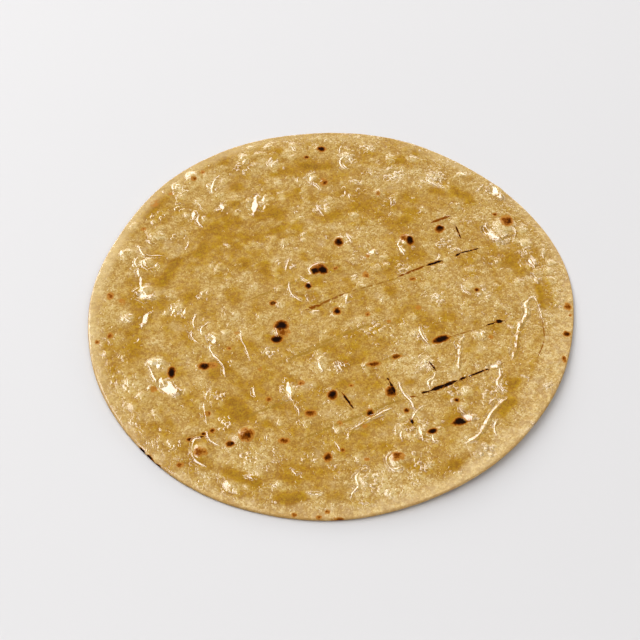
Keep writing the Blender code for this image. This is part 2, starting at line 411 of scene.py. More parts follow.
# %% How deep the ghee is
# Golden pools: (half width in mm, depth in mm, points along the pool in mm)
POOLS = (
    # at the left and the back left
    (2.2, 0.16, (-68.5, 7), (-66, 13), (-63.5, 19), (-61, 25)),
    (1.8, 0.15, (-60, 25), (-55, 26), (-52, 31), (-50.5, 35)),
    (3.0, 0.09, (-51, 39), (-45, 42), (-39, 45), (-36, 46)),
    (3.0, 0.13, (-33, 48), (-27, 48.5), (-20, 50)), (2.5, 0.08, (-60, 6), (-54, 2)),
    (1.8, 0.15, (-79, 44), (-74, 50), (-71, 57), (-69.5, 61)), (1.8, 0.13, (-45, 84), (-44.5, 77)),
    (2.6, 0.14, (-43, 64), (-35, 64.5)), (1.6, 0.13, (-41.5, 54), (-37.5, 54.5)),
    (2.0, 0.12, (-27, 14), (-26, 23)), (1.6, 0.10, (-36, 24), (-34, 18)),
    (2.2, 0.10, (-82, -13), (-76, -17)), (2.0, 0.10, (-36, -17.5), (-29, -21)),
    (3.0, 0.10, (-46, -38), (-38, -30)), (2.6, 0.10, (-32, -52), (-38, -46)),
    # at the back and in the middle
    (2.5, 0.12, (-17, 41), (-11, 39.5)), (1.4, 0.15, (-14.5, 64), (-13, 61)),
    (2.2, 0.16, (-15, 77.5), (-6, 77), (3, 77.5)), (1.8, 0.12, (-24, 86), (-20, 88)),
    (2.0, 0.10, (30, 84), (30, 78)), (1.5, 0.12, (36.5, 87), (36.5, 83)),
    (2.5, 0.13, (30, 48), (30, 43)), (3.0, 0.06, (8, 56), (12, 50)),
    (2.0, 0.08, (5, 50), (-4, 46)), (1.8, 0.08, (-10, 27), (-12, 22)),
    (2.0, 0.09, (20, 8), (26, 5)), (2.0, 0.08, (10, 8), (4, 14)),
    (2.0, 0.06, (2, -37.5), (7, -40)),
    # at the right
    (2.5, 0.11, (40, 63), (48, 60.5), (56, 60)), (3.2, 0.12, (57, 61), (58, 53)),
    (3.5, 0.04, (61, 44), (58, 38)), (2.0, 0.10, (58, 71), (60, 68)),
    (2.5, 0.11, (70, 28), (73, 20), (77, 14)), (1.5, 0.19, (80.5, 12), (81.5, 4), (81, -4)),
    (2.0, 0.13, (26, -39), (31, -37.5)), (1.6, 0.12, (34, -46), (37, -44)),
    (2.0, 0.19, (59.5, -56), (62, -52), (66, -48), (70, -47)),
    (1.5, 0.13, (65, -41.5), (70, -38.5)), (2.0, 0.09, (42, -8), (48, -6)),
    # at the front
    (2.0, 0.16, (-40, -76.5), (-33, -80), (-24, -84)),
    (2.3, 0.18, (-22, -88.5), (-15, -89), (-9, -88)), (1.8, 0.15, (-4, -88.5), (5, -88)),
    (1.8, 0.10, (-20, -80), (-10, -82.5)), (1.5, 0.10, (22, -74), (30, -77.5)),
    (2.0, 0.09, (40, -77), (47, -74)),
    # broad ones
    (16, 0.04, (-64, 12), (-44, 34), (-12, 46)), (11, 0.04, (-30, -34), (-24, -60)),
    (9, 0.05, (-66, -52), (-40, -70)), (12, 0.04, (28, 58), (58, 56)),
    (9, 0.015, (-76, -20), (-60, -50)), (8, 0.05, (-30, 80), (8, 86)),
    (7, 0.06, (-56, -68), (-40, -79)), (7, 0.05, (-44, -58), (-28, -50)),
    (24, 0.02, (-18, -12), (14, -16)), (7, 0.03, (-10, -82), (10, -82)),
    # and places that ran dry
    (6.0, -0.07, (-71, 42), (-62, 33)), (4.5, -0.06, (-52, 72), (-47, 66)),
    (5.0, -0.05, (-26, 64), (-16, 69)), (4.5, -0.06, (-50, 22), (-46, 14)),
    (7.0, -0.05, (-14, -10), (-4, -6)), (5.0, -0.07, (44, 37), (52, 34)),
    (5.0, -0.05, (-31, -73), (-18, -76)), (4.5, -0.06, (66, 38), (76, 36)),
    (5.0, -0.06, (-76, -36), (-71, -46)), (6.0, -0.05, (-62, 56), (-56, 64)),
    (7.0, -0.07, (16, -83), (30, -81)),
)
FILM_DEPTH = -0.05  # mm from the smoothed face to the ghee's level where nothing has gathered
FILM_ROLLS, FILM_RIPPLES = 0.05, 0.03  # mm that the level wanders, broadly and finely
DRY_LOSS = 0.15     # mm less in the dry band
POOL_END = (-0.05, 0.25)  # shares of its length over which a pool's end fades

film = FILM_DEPTH + FILM_ROLLS * broad + FILM_RIPPLES * middling
for half_width, depth, *points in POOLS:
    near, offset, along = beside_path(points, reach=3 * half_width)
    ends = ease(along, *POOL_END) * ease(1 - along, *POOL_END)
    film[near] += depth * np.exp(-((offset / half_width) ** 2)) * ends
film -= DRY_LOSS * dryness
print("film: %.2f to %.2f mm" % (film.min(), film.max()))

# %% Find its level
LUMP_HEIGHT, FINE_LUMP_HEIGHT = 0.12, 0.07  # mm
LEVEL_SMOOTHING = 160  # rounds of smoothing that take the bumps away
FILLET = 0.12 * MM     # how far the two surfaces blend where they meet

lumps = (LUMP_HEIGHT * lumpiness(4.2, (15, 26, 3))
         + FINE_LUMP_HEIGHT * lumpiness(2.1, (21, 35, 4)))
bread = bread_z + (bumps + lumps) * MM
level_sheet = bpy.data.objects.new("level", upper.data.copy())
bpy.context.collection.objects.link(level_sheet)
set_corners(level_sheet.data, x, y, bread)
apply_modifier(level_sheet, "SMOOTH", iterations=LEVEL_SMOOTHING, factor=0.5,
               use_x=False, use_y=False)
level = corners(level_sheet.data)[:, 2] + film * MM
bpy.data.objects.remove(level_sheet)
depth_mm = (level - bread) / MM
surface_z = (bread + level + np.sqrt((bread - level) ** 2 + FILLET**2)) / 2
print("ghee covers %.0f%% of the vertices" % (100 * (depth_mm > 0).mean()))

# %% [markdown]
# The brush goes round and round, and leaves streaks where the ghee is a little deeper. They are
# noise whose lumps are stretched along circles: it changes fast outwards and slowly on the way
# round. The streaks are too shallow to shape, so they only deepen the gold.

# %% The brush's streaks
STROKE_TURNS = 4.5   # how often a stroke is broken on its way round
MIDDLE_REACH = 20    # mm around the middle in which strokes have no direction
STROKES = ((0.6, 5.0, (3, 7, 1)), (0.4, 2.4, (9, 2, 5)))  # (share, width in mm, offset)


def strokes(across, offset):
    """Streaks that run round the bread, from -1 to 1, that are across millimetres wide."""
    away = np.hypot(px_mm, py_mm)
    turns = STROKE_TURNS / (away + MIDDLE_REACH)
    places = np.stack([px_mm * turns, py_mm * turns, away / across], axis=1)
    return np.array([noise.noise(Vector(place) + Vector(offset)) for place in places.tolist()])


brushed = sum(share * strokes(across, offset) for share, across, offset in STROKES)
print("streaks: %.2f to %.2f" % (brushed.min(), brushed.max()))

# %% [markdown]
# ## Trails of ghee
#
# Where the brush or the bread's folds left a thicker line of ghee, it stands as a narrow
# rounded ridge that tapers at both ends. These are the brightest lines on the bread, so they
# are placed one by one. Most are little over a millimetre wide, and our triangles are half of
# that, so a mesh alone would show them with saw teeth. Each trail is therefore raised twice:
# the mesh carries a low and wide swell, and every vertex stores how far it lies from the
# trail's middle, from which the material draws the sharp, round top. Under a trail the small
# bumps are drowned, so that its flanks are smooth. What the photograph shows bright is one
# flank, the one that faces the lamp, so a trail's middle lies a little to the side of the
# points read off it.

# %% Raise the trails
# (half width in mm, points along it in mm)
TRAILS = (
    # at the left
    (0.76, (-79, 30), (-77.5, 29), (-76, 26), (-74, 24.5), (-71, 24.5), (-68, 25)),
    (0.61, (-77.5, 24), (-78.5, 21), (-77.5, 18.5)),
    (0.68, (-76, 22), (-75.5, 19), (-73, 17.5), (-70, 18.5), (-70, 21)),
    (0.76, (-77, 18), (-76.5, 15), (-75.5, 12), (-75, 9.5), (-76.5, 7), (-78.5, 5.5)),
    (0.53, (-74.5, 9.5), (-71.5, 9.5)), (1.17, (-77, 5.5), (-74.5, 3), (-71.5, 3), (-70, 5)),
    (1.53, (-70.5, -5), (-72, -8), (-73.5, -12)), (0.61, (-52.5, -5), (-53.5, -9), (-53, -12.5)),
    (0.76, (-54, -14), (-53.5, -17), (-51, -19.5)), (0.61, (-47, -9.5), (-50, -12), (-50, -16)),
    (1.17, (-48.5, -16), (-46.5, -18.5), (-44, -19)),
    (0.68, (-46.5, -20), (-46, -23.5), (-43.5, -27), (-41, -31), (-40, -36)),
    (0.53, (-58.5, 34), (-58, 31.5), (-59, 28.5)), (0.61, (-62.5, -1), (-62, -4.5)),
    (0.68, (-58.5, -3), (-58, -6.5)), (1.08, (-80, -8), (-78, -9.5)),
    (0.53, (-73.5, -17), (-74, -19.5), (-76, -21)), (0.68, (-75, 33), (-72.5, 31.5), (-71, 32)),
    (0.76, (-69.5, -30), (-68, -33), (-66, -37), (-63.5, -41), (-62.5, -43.5)),
    (1.53, (-64, -38.5), (-61, -38), (-59.5, -40.5), (-57.5, -43), (-56, -42)),
    (0.68, (-63, -42), (-60.5, -41.5), (-58, -45)), (0.53, (-46, -42.5), (-47, -46)),
    (1.08, (-47.5, -48), (-47, -52), (-46, -57)),
    (0.61, (-45.5, -60.5), (-44.5, -64), (-40.5, -67)),
    (0.7, (-47, -64), (-49.5, -64.5), (-50.5, -67.5), (-50, -71.5), (-47.5, -74), (-45, -75.5)),
    (0.53, (-58.5, -69), (-55.5, -67)),
    (0.38, (-35, -13), (-34.5, -18), (-32.5, -23), (-30.5, -29.5)),
    (0.68, (-29.5, -40), (-29, -43), (-28.5, -45.5)), (0.53, (-60, -60.5), (-57, -61.5)),
    # at the back left
    (0.68, (-47, 71.5), (-49, 69), (-50, 64), (-50, 60.5)),
    (1.44, (-30.5, 61), (-32, 57), (-33, 51.5), (-32.5, 48.5)), (0.76, (-32, 55), (-28, 55)),
    (0.68, (-31, 52), (-28.5, 50.5)), (0.68, (-37, 50), (-39.5, 50.5), (-38, 51.5)),
    (1.17, (-45.5, 54), (-46, 51.5), (-48, 50.5)), (0.53, (-57, 56.5), (-55, 54.5), (-53.5, 51)),
    (1.08, (-55, 48), (-55, 44.5), (-53, 41.5)), (0.61, (-62.5, 66), (-62, 61.5)),
    (1.17, (-71.5, 62), (-70, 61)), (0.53, (-65, 58), (-64, 55.5)),
    (1.17, (-43.5, 31.5), (-42, 31)), (1.17, (-38, 78.5), (-36.5, 81.5)),
    (0.76, (-37.5, 74), (-36, 71.5)), (0.61, (-25.5, 81), (-25, 78)),
    (0.76, (-17, 90), (-15.5, 86.5)), (0.61, (-20, 77.5), (-20, 75)),
    # at the back and in the middle
    (0.68, (4.5, 90), (3.5, 85)), (0.76, (6, 83), (4, 80.5), (4.5, 77.5), (7, 75)),
    (1.08, (-7.5, 73.5), (-9.5, 71.5), (-9.5, 68.5), (-7, 66), (-5, 63.5)),
    (0.61, (-14, 70), (-14.5, 67.5)), (0.61, (8.5, 68.5), (10.5, 68), (11, 66)),
    (1.08, (7, 60.5), (7.5, 58)), (1.08, (-6.5, 53.5), (-5, 51), (-3.5, 48)),
    (0.68, (6, 37.5), (7.5, 34.5), (8, 32)), (0.53, (-2, 37), (-2, 34.5)),
    (0.68, (-19, 32.5), (-19.5, 29.5)), (0.68, (-17, 24), (-18, 20), (-18.5, 17)),
    (0.61, (-12.5, 14), (-11, 12), (-9, 11), (-8, 9.5)),
    (0.68, (-17, 11), (-16.5, 6.5), (-14.5, 3.5), (-11.5, 1.5)), (0.38, (-7.5, 6.5), (-5.5, 4.5)),
    (0.61, (-2.5, 21.5), (-6, 20.5), (-9, 18), (-8, 15)), (1.17, (5, 0), (6, 4.5)),
    (0.68, (-10, 3), (-9, 1)), (0.76, (-9, -4.5), (-5, -3.5)), (0.68, (19.5, 3), (19, 0.5)),
    (1.17, (15, 27.5), (18, 26.5)), (1.26, (-22, -13), (-21, -16)), (0.53, (4, -17), (6, -16.5)),
    (1.08, (-5.5, -28.5), (-4, -33)), (0.76, (2, -29), (3.5, -33)),
    (0.4, (-23.4, 0.5), (-22.8, 0.3)),
    # at the right
    (0.76, (40, 70), (42, 67), (46, 65), (47, 63.5)), (0.68, (43, 72), (43.5, 68)),
    (0.61, (46.5, 69.5), (46, 66)), (1.08, (67, 66), (67.5, 62.5), (69.5, 59), (72, 57.5)),
    (0.76, (63.5, 65), (62, 62.5), (60.5, 61.5)),
    (1.44, (63, 43), (62.5, 39), (65.5, 35), (66.5, 32)),
    (0.61, (66.5, 35.5), (69, 34), (72, 33.5)), (0.53, (73, 41.5), (75, 38), (74, 33.5)),
    (0.68, (79.5, 30), (77.5, 28.5), (78.5, 26)), (1.08, (80, 25), (80.5, 20.5), (80.5, 18.5)),
    (1.08, (79, 16), (80, 13), (81, 10.5)), (0.61, (85, 28), (85, 23.5)),
    (0.61, (76, 24), (75, 20)),
    (1.17, (78, 3.5), (75.5, 0), (75, -5), (73.5, -9), (71, -13), (70, -19), (69, -24), (67, -28)),
    (0.61, (67, -11), (70, -13)), (0.76, (51, 9.5), (51.5, 7), (54, 5)),
    (0.76, (59.5, 5.5), (62, 6)), (0.68, (33.5, -10), (34, -15), (36.5, -20)),
    (0.68, (41, 0), (42, -1.5)), (0.61, (43, 27), (43, 24), (41, 22.5)),
    (0.76, (28, 34), (27, 31), (28.5, 28), (29, 26)), (1.08, (48, 29.5), (52, 28.5)),
    (0.61, (24.5, 53.5), (25.5, 57.5)), (1.17, (56.5, -15), (57, -18)),
    (1.08, (50, -16), (48, -21), (47.5, -26), (47, -32)), (0.53, (79, 4), (80.5, -3), (81, -9)),
    (1.08, (62, -28), (61.5, -31), (57, -32)),
    (0.76, (62, -31), (62.5, -36), (61, -38.5), (62, -42), (64, -43.5)),
    (1.17, (63.5, -46.5), (60, -50), (57, -54), (54, -60), (50.5, -64.5), (47, -66.5)),
    (0.68, (59.5, -56), (58, -60), (58.5, -63.5)), (0.53, (47.5, -41), (49.5, -43.5)),
    (0.68, (45.5, -50), (47.5, -52.5), (49, -54.5), (53, -55.5)), (0.61, (50.5, -51.5), (49, -55)),
    (0.68, (38.5, -33.5), (37.5, -36.5), (35.5, -38.5), (36, -41.5)),
    (0.61, (35.5, -62), (36, -65), (38, -65.5)), (0.53, (70, -36), (72.5, -37.5), (72, -40)),
    (0.61, (56.5, -49.5), (60, -46)),
    # at the front
    (0.76, (-18, -36), (-16.5, -40)), (1.3, (-17, -39), (-16, -45), (-15, -47)),
    (0.53, (-14.5, -48.5), (-12.5, -51), (-12.5, -54)), (0.53, (-24, -62), (-23.5, -65)),
    (0.8, (21, -50.5), (16.5, -53.5), (12.5, -56), (7, -60), (5, -64)),
    (0.61, (-19.5, -71.5), (-17.5, -71)), (0.8, (-22.5, -73.5), (-19, -73.5)),
    (0.85, (-32.5, -79.5), (-29, -80), (-27, -81)), (0.8, (-22, -83), (-20, -84.5)),
    (0.68, (21, -69.5), (19, -72), (19, -75), (21.5, -77.5), (25, -76)),
    (0.76, (13, -76.5), (9.5, -78), (8, -81), (8.5, -84.5), (6.5, -87), (6, -89)),
    (1.17, (9, -90.5), (11, -90.5)), (0.68, (-15, -76.5), (-13.5, -78.5), (-11.5, -78.5)),
    (0.8, (-9.5, -86.5), (-4, -87)), (0.61, (0.5, -65.5), (2, -67.5), (2.5, -70)),
    (0.68, (22.5, -59), (22.5, -62)), (0.61, (26.5, -59), (24.5, -62), (25, -65.5)),
    (1.08, (31, -58.5), (31.5, -61.5), (32, -64.5)),
    (0.68, (24.5, -38.5), (26, -43), (29, -47.5), (29.5, -51)),
    (0.61, (33.5, -49), (30.5, -52), (28.5, -55.5)),
)
TRAIL_SLOPE = 0.36  # height of a trail as a share of its half width, in the middle of the bread
STEEPER = 0.0033    # how much steeper it is with each millimetre further to the right
TRAIL_REACH = 3.0   # mm: vertices further from a trail are left alone
END_LENGTH = 1.8    # mm that a trail takes to taper at each end
BLUNT = 0.35        # how wide it still is at the very end, as a share
PLAIN_WIDTH, LUMP_WIDENS = 0.9, 0.6  # shares of its width: on even bread, and added by a lump
UNEVEN = (0.6, 1.4)  # the narrowest and widest that lumps make it, as shares
SWELL = 1.1         # mm, the half width of the swell that the mesh carries
SWELL_SHARE = 0.20  # how much of the height is in the mesh
FAR = 2.0           # offsets are stored up to this many half widths
CREST_ENDS = 1.2    # the crest's height is full up to this many half widths
DROWNING = (-2.2, -1.1)  # half widths, inwards, over which the small bumps go under
DROWNED_UNDER = 0.05  # mm of ghee over the level under a trail
LIT_SIDE = np.array([0.45, -0.2])  # half widths from the lit flank to the trail's middle

swell = np.zeros(len(x))
drowned = np.zeros(len(x))
trail = np.full(len(x), FAR)  # the offset from the nearest trail's middle, in half widths
trail_height = np.zeros(len(x))
for half_width, *points in TRAILS:
    points = np.array(points) + LIT_SIDE * half_width
    near, offset, along = beside_path(points, TRAIL_REACH)
    length = np.linalg.norm(np.diff(round_path(points), axis=0), axis=1).sum()
    to_end = np.minimum(along, 1 - along) * length
    taper = BLUNT + (1 - BLUNT) * ease(to_end, 0, END_LENGTH)
    uneven = np.clip(PLAIN_WIDTH + LUMP_WIDENS * lumps[near] / LUMP_HEIGHT, *UNEVEN)
    place = offset / (half_width * taper * uneven)
    slope = TRAIL_SLOPE * (1 + STEEPER * px_mm[near])
    height = half_width * slope * taper * uneven
    closer = np.abs(place) < np.abs(trail[near])
    trail[near[closer]] = place[closer]
    fade = ease(-np.abs(place), -FAR, -CREST_ENDS)
    trail_height[near[closer]] = (height * fade)[closer]
    rise = SWELL_SHARE * height * np.cos(np.clip(np.abs(offset) / SWELL, 0, 1) * math.pi / 2) ** 2
    swell[near] = np.maximum(swell[near], rise)
    drowned[near] = np.maximum(drowned[near], ease(-np.abs(place), *DROWNING) * taper)
surface_z = surface_z + drowned * (level + DROWNED_UNDER * MM - surface_z) + swell * MM
print(len(TRAILS), "trails, the highest %.2f mm" % trail_height.max())

# %% [markdown]
# ## Drops of ghee
#
# A few blisters have a thick, smooth drop hanging on the flank that faces the lamp, and it shines
# all over, not only along a line. Each is made as a small flat face that leans to the left. It
# starts from the ghee's own level and blends into it around an oval with a wandering edge. Seen
# from the camera, a face further to the right has to lean more to catch the same lamp.

# %% Raise the drops
# (x, y, half length and half width in mm, turn in degrees)
DROPS = (
    (-31.8, 53.5, 2.0, 4.6, -12), (-27.8, 52, 0.9, 2.8, -40), (-28.4, 57, 0.9, 2.6, -35),
    (-60.3, -41.8, 4.6, 2.3, -30), (-63.5, -38.5, 1.1, 2.4, 20), (-45.6, 52.4, 1.5, 2.0, 20),
    (-71.7, -7.6, 1.3, 3.1, -34), (-45, -19, 1.7, 1.3, -20), (-75.2, 10.5, 1.0, 4.0, 0),
    (-73, 3.2, 3.4, 1.0, 5), (-61.5, -4.7, 0.9, 2.2, -20), (-57.3, -4.2, 0.8, 2.0, -20),
    (-65, -31.5, 1.6, 1.3, 0), (-57, 48, 1.2, 2.0, 0), (-16.2, -41.8, 1.2, 5.0, 8),
    (6.2, 61, 1.2, 1.8, 0), (-8.5, 69, 1.3, 2.4, 10), (16, 27, 1.8, 1.0, 0),
    (31.4, -61.5, 1.0, 2.6, 8), (48, -24, 0.9, 3.4, 0), (49.2, -54.6, 3.2, 1.5, -18),
    (71, -13, 1.2, 3.4, -20), (60.5, -31.2, 2.4, 1.1, 0), (56.8, -16.5, 1.2, 2.0, 0),
    (69.2, 60.8, 1.3, 4.2, 27), (65.4, 36.4, 1.4, 5.2, 38), (75.2, 19.7, 0.9, 1.8, 20),
    (79.8, 21.5, 0.9, 2.8, 12), (80, 13, 0.9, 2.6, 20),
)
DROP_LEAN = 0.38       # how steeply a drop's face leans, in the middle of the bread
LEAN_STEEPER = 0.0045  # how much steeper it is with each millimetre further to the right
DROP_STAND = 0.10      # mm that its middle stands over the ghee's level
DROP_REACH = 8         # mm: vertices further from a drop's middle are left alone
DROP_EDGE = 1.25, 0.75  # where a drop begins and is full, as shares of the way to its outline

drop_share = np.zeros(len(x))
for cx, cy, long_half, wide_half, turn in DROPS:
    near = around(cx, cy, DROP_REACH)
    away = oval(cx, cy, long_half, wide_half, turn, warp_x[near], warp_y[near])
    begins, full = DROP_EDGE
    covered = ease(begins - away, 0, begins - full)
    middle = np.average(level[near], weights=covered)
    lean = DROP_LEAN * (1 + LEAN_STEEPER * cx)
    face = middle + (DROP_STAND + lean * (px_mm[near] - cx)) * MM
    surface_z[near] += covered * (face - surface_z[near])
    drop_share[near] = np.maximum(drop_share[near], covered)
print(len(DROPS), "drops")

# %% [markdown]
# ## Glittering patches
#
# Here and there ghee has frothed or the crumb stands in wet points, which glitter. The points are
# smaller than our triangles, so the mesh only stores where the patches are, and the material
# raises the points.

# %% Mark where the wet crumb glitters
# (x, y, radius) in mm
GLITTER = (
    (-63, -29, 4), (-75, -41, 3), (-41, -45, 3), (-17, -42, 4), (-39, -57, 4), (44, -44, 5),
    (58, -46, 5), (28, 18, 4), (46, 32, 4), (16, -13, 5), (33, -16, 3), (-60, -4, 4), (-78, 20, 6),
    (-56, 48, 6), (-64, 52, 5), (-45, 52, 4), (-32, 54, 4), (-62, 36, 6), (-50, 4, 4),
    (-64, 62, 5), (-38, 76, 5), (-25, 80, 5), (10, 64, 6), (8, 82, 5), (26, 72, 6), (44, 70, 5),
    (25, 56, 3), (70, 34, 5), (78, 28, 4), (42, 3, 4), (60, 6, 4), (-16, 20, 4), (5, 34, 4),
    (-4, 52, 4), (-56, -66, 3), (-8, -73, 4), (30, -60, 5), (36, -64, 3), (54, -70, 5),
    (32, -77, 5), (14, -82, 5), (-30, -72, 4), (3, -31, 4), (62, -40, 3), (72, -60, 3),
    (80, -42, 3), (-24, -25, 4), (57, -16, 3), (34, -29, 4), (-72, 46, 5), (-50, 64, 4),
    (16, 88, 4), (52, 52, 4), (66, 62, 3),
)
GLITTER_END = 1.3  # a patch has faded out at this many times its radius

glitter = np.zeros(len(x))
for cx, cy, size in GLITTER:
    away = np.hypot(px_mm - cx, py_mm - cy) / size
    glitter = np.maximum(glitter, ease(GLITTER_END - away, 0, 1))
print("glittering: %.0f%% of the vertices" % (100 * (glitter > 0.5).mean()))

# %% [markdown]
# ## Toasted spots and griddle lines
#
# The tops of the blisters touch the hot iron and toast, from orange through brown to black. The
# bread stores how dark each place is as an attribute, a number on every vertex, and the
# material turns the number into a colour. A line is thinner than a triangle, so for lines the
# vertices store how far they lie from the line's middle instead. The distance changes evenly
# across a triangle, and the material can draw a sharp line from it.

# %% Mark the toasted spots
# (x, y, half length and half width in mm, turn in degrees, darkness)
SPOTS = (
    # in the middle
    (-19.5, -11.5, 2.3, 2.3, 0, 1.15), (-21, -18, 1.9, 1.5, 10, 1.2),
    (-18.5, -15, 2.2, 2.0, 0, 0.5), (-3.5, 17, 1.7, 1.6, 0, 1.25), (-6.5, 16.8, 1.7, 1.5, 0, 1.15),
    (-5.2, 19.3, 2.2, 1.6, 0, 0.62), (-9.2, 9, 1.2, 1.5, 0, 1.0), (-23, 0.2, 1.1, 1.1, 0, 0.9),
    (3, 32.5, 1.5, 2.0, 0, 0.95), (2, -4, 1.3, 1.6, 0, 0.9), (1.5, 18.5, 1.0, 0.9, 0, 0.6),
    (14.5, 25, 0.8, 0.8, 0, 0.5), (13.5, 14.5, 1.3, 1.9, 0, 0.36), (13.8, -5.5, 0.9, 1.1, 0, 0.40),
    (33.5, -2, 1.2, 1.1, 0, 0.34), (22, -9, 0.8, 0.8, 0, 0.30), (5, -29, 0.8, 0.8, 0, 0.36),
    (32, 12.5, 1.1, 0.9, 20, 0.6), (57, 7, 0.9, 0.8, 0, 0.85),
    # at the back
    (31.8, 33.2, 1.4, 2.1, 0, 1.2), (29.8, 34.5, 1.6, 2.2, 20, 0.5), (44.3, 40, 1.6, 1.8, 0, 1.0),
    (-4, 87.5, 1.6, 1.5, 0, 0.95), (-10.5, 82.5, 1.0, 0.9, 0, 0.65), (-3, 67.5, 1.3, 2.0, 0, 0.64),
    (19.5, 60.5, 1.0, 1.4, 0, 0.45), (72, 44, 2.2, 2.9, 0, 0.60), (67.5, 48, 0.9, 0.8, 0, 0.55),
    (-58, 69, 1.2, 1.1, 40, 0.42), (-54.5, 73.5, 1.0, 0.9, 0, 0.42),
    (-76.5, 39, 1.0, 0.9, 0, 0.36), (-67, 60, 0.9, 0.8, 0, 0.40), (-73, 54, 2.5, 1.9, 50, 0.22),
    # at the right
    (41.5, -18, 3.0, 1.4, 25, 1.3), (24, -26.5, 1.9, 1.0, 15, 0.7),
    (15.5, -30, 2.4, 1.1, 15, 0.62), (46.5, -56.5, 3.1, 1.5, 22, 1.35),
    (36, -61, 1.7, 1.0, 15, 1.3), (45.5, -47, 0.9, 0.8, 0, 0.95), (91.5, -2, 1.2, 1.7, 0, 0.6),
    (92, -6.5, 0.6, 0.6, 0, 0.7), (89.5, -16, 1.2, 1.2, 0, 0.8), (87, -29, 0.7, 1.6, 0, 0.6),
    (60.5, -17, 0.9, 0.8, 0, 0.45),
    # at the left
    (-48, -31, 1.9, 1.5, 0, 1.0), (-45.2, -30.6, 2.0, 1.3, 0, 0.5), (-60, -34, 1.1, 2.3, 0, 1.3),
    (-39, -22.5, 0.8, 0.8, 0, 0.5), (-36.5, -15, 0.9, 0.8, 0, 0.34),
    (-45.5, -53, 0.9, 0.9, 0, 1.0), (-43.5, -60.5, 1.0, 0.9, 0, 1.0),
    (-46.5, -62, 0.8, 0.7, 0, 0.9), (-51.5, -64.5, 0.8, 0.8, 0, 0.9),
    (-36.8, -66.3, 1.3, 1.3, 0, 0.95), (-47, -70, 2.2, 1.6, 0, 0.58), (-54, -75, 1.1, 1.0, 0, 0.6),
    (-66, -42, 1.3, 1.2, 0, 0.38), (-84.5, -17, 1.0, 1.4, 0, 0.42), (-89, -20, 0.9, 0.9, 0, 0.5),
    (-86.5, 3, 1.2, 1.8, 0, 0.42), (-82, 0, 2.2, 1.8, 0, 0.2), (-27, -32.5, 0.9, 0.9, 0, 0.3),
    # at the front
    (0, -44.5, 1.6, 2.0, 0, 0.95), (-8, -53, 1.7, 1.4, 0, 0.76), (13.5, -52.5, 1.3, 1.5, 0, 0.85),
    (21.6, -43, 1.7, 2.0, 0, 0.85), (27, -51.5, 0.9, 1.0, 0, 0.95), (-2, -72, 1.4, 1.7, 0, 0.78),
    (3.5, -69, 0.8, 0.8, 0, 0.55), (12, -73, 0.7, 0.7, 0, 0.6), (23, -72, 2.3, 1.8, 0, 0.62),
    (-17.5, -65, 1.9, 1.2, 10, 0.60), (-11.5, -39, 1.1, 1.1, 0, 0.55),
    (2.5, -57.5, 1.0, 1.0, 0, 0.55), (11.5, -58.5, 1.0, 1.0, 0, 0.32),
    (-31, -62.5, 2.4, 2.6, 0, 0.68), (-23.5, -46.5, 1.0, 1.0, 0, 0.5), (7, -40, 1.0, 0.7, 10, 0.4),
    (-13.5, -95.5, 0.9, 0.8, 0, 0.55), (-2, -94.5, 0.8, 0.7, 0, 0.5),
    (1.5, -97.3, 1.8, 0.7, 0, 0.5), (-5, -96.5, 0.9, 0.7, 0, 0.5),
)
HALO = 1.5      # a spot has faded out at this many times its half width
SPOT_REACH = 6  # mm: vertices further from a spot's middle are left alone

toast = np.zeros(len(x))
for cx, cy, long_half, wide_half, turn, darkness in SPOTS:
    near = around(cx, cy, SPOT_REACH)
    away = oval(cx, cy, long_half, wide_half, turn, px_mm[near], py_mm[near])
    toast[near] = np.maximum(toast[near], darkness * np.clip(HALO - away, 0, 1))
print("toasted: %.1f%% of the vertices" % (100 * (toast > 0.5).mean()))

# %% Mark the griddle's lines
# (half width in mm, darkness, start and end in mm)
LINES = (
    (1.05, 0.50, (-9.5, -3), (-4.5, -1)), (0.72, 0.45, (-4.5, -0.5), (5, 5)),
    (0.45, 0.42, (5, 5), (26, 13)), (0.58, 0.60, (26, 13.5), (38, 20)),
    (0.72, 0.95, (38, 20), (44, 22.5)), (0.65, 1.00, (50, 25.5), (51.5, 26)),
    (0.43, 0.90, (51.5, 26.5), (59, 29)), (0.72, 0.60, (41, 43.5), (48.5, 47)),
    (0.33, 0.45, (37.5, -19.5), (58, -12)), (0.43, 0.90, (59.5, -11), (62.5, -10)),
    (1.09, 1.00, (63, -9.5), (65.5, -9)), (0.36, 0.60, (27, -45.5), (31, -45)),
    (0.51, 1.00, (33, -43.5), (35.5, -43)), (0.94, 1.00, (36.5, -42.5), (45.5, -38.5)),
    (0.65, 1.00, (47.5, -37.5), (49.5, -36.5)), (0.51, 1.00, (51, -36), (58.5, -32.5)),
    (0.51, 0.80, (62.5, -30.5), (64, -30)), (0.39, 0.28, (33, -63), (50, -55)),
    (0.59, 0.32, (10.5, -32), (26.5, -25)), (0.51, 0.95, (3.5, -43.5), (7.5, -50.5)),
    (0.36, 0.90, (20.5, -36.5), (21.5, -39)), (0.72, 1.00, (21.5, -39), (23, -43.5)),
    (0.43, 0.95, (36.5, -29.5), (38.5, -33)), (0.65, 1.00, (28.5, -55.5), (29, -57.5)),
    (0.43, 0.80, (51, 41.5), (52.5, 35)), (0.65, 0.30, (-23, -31), (3, -18.5)),
    (0.65, 0.30, (-12, -24), (20.5, -7.5)), (0.65, 0.28, (-33.5, -55.5), (-12, -45)),
    (0.65, 0.30, (-11.5, -64.5), (25, -46.5)), (0.65, 0.28, (-32, 2), (-4.5, 16.5)),
    (0.43, 0.80, (-46, -63), (-52, -64.5)), (0.33, 0.45, (81, -9), (80.5, -19), (77, -28)),
    (0.60, 0.90, (-69.4, -67.4), (-67, -69.8)), (0.75, 1.00, (-66.4, -70.6), (-63.8, -73.2)),
    (0.60, 0.90, (-63.2, -74.0), (-61, -76)),
)
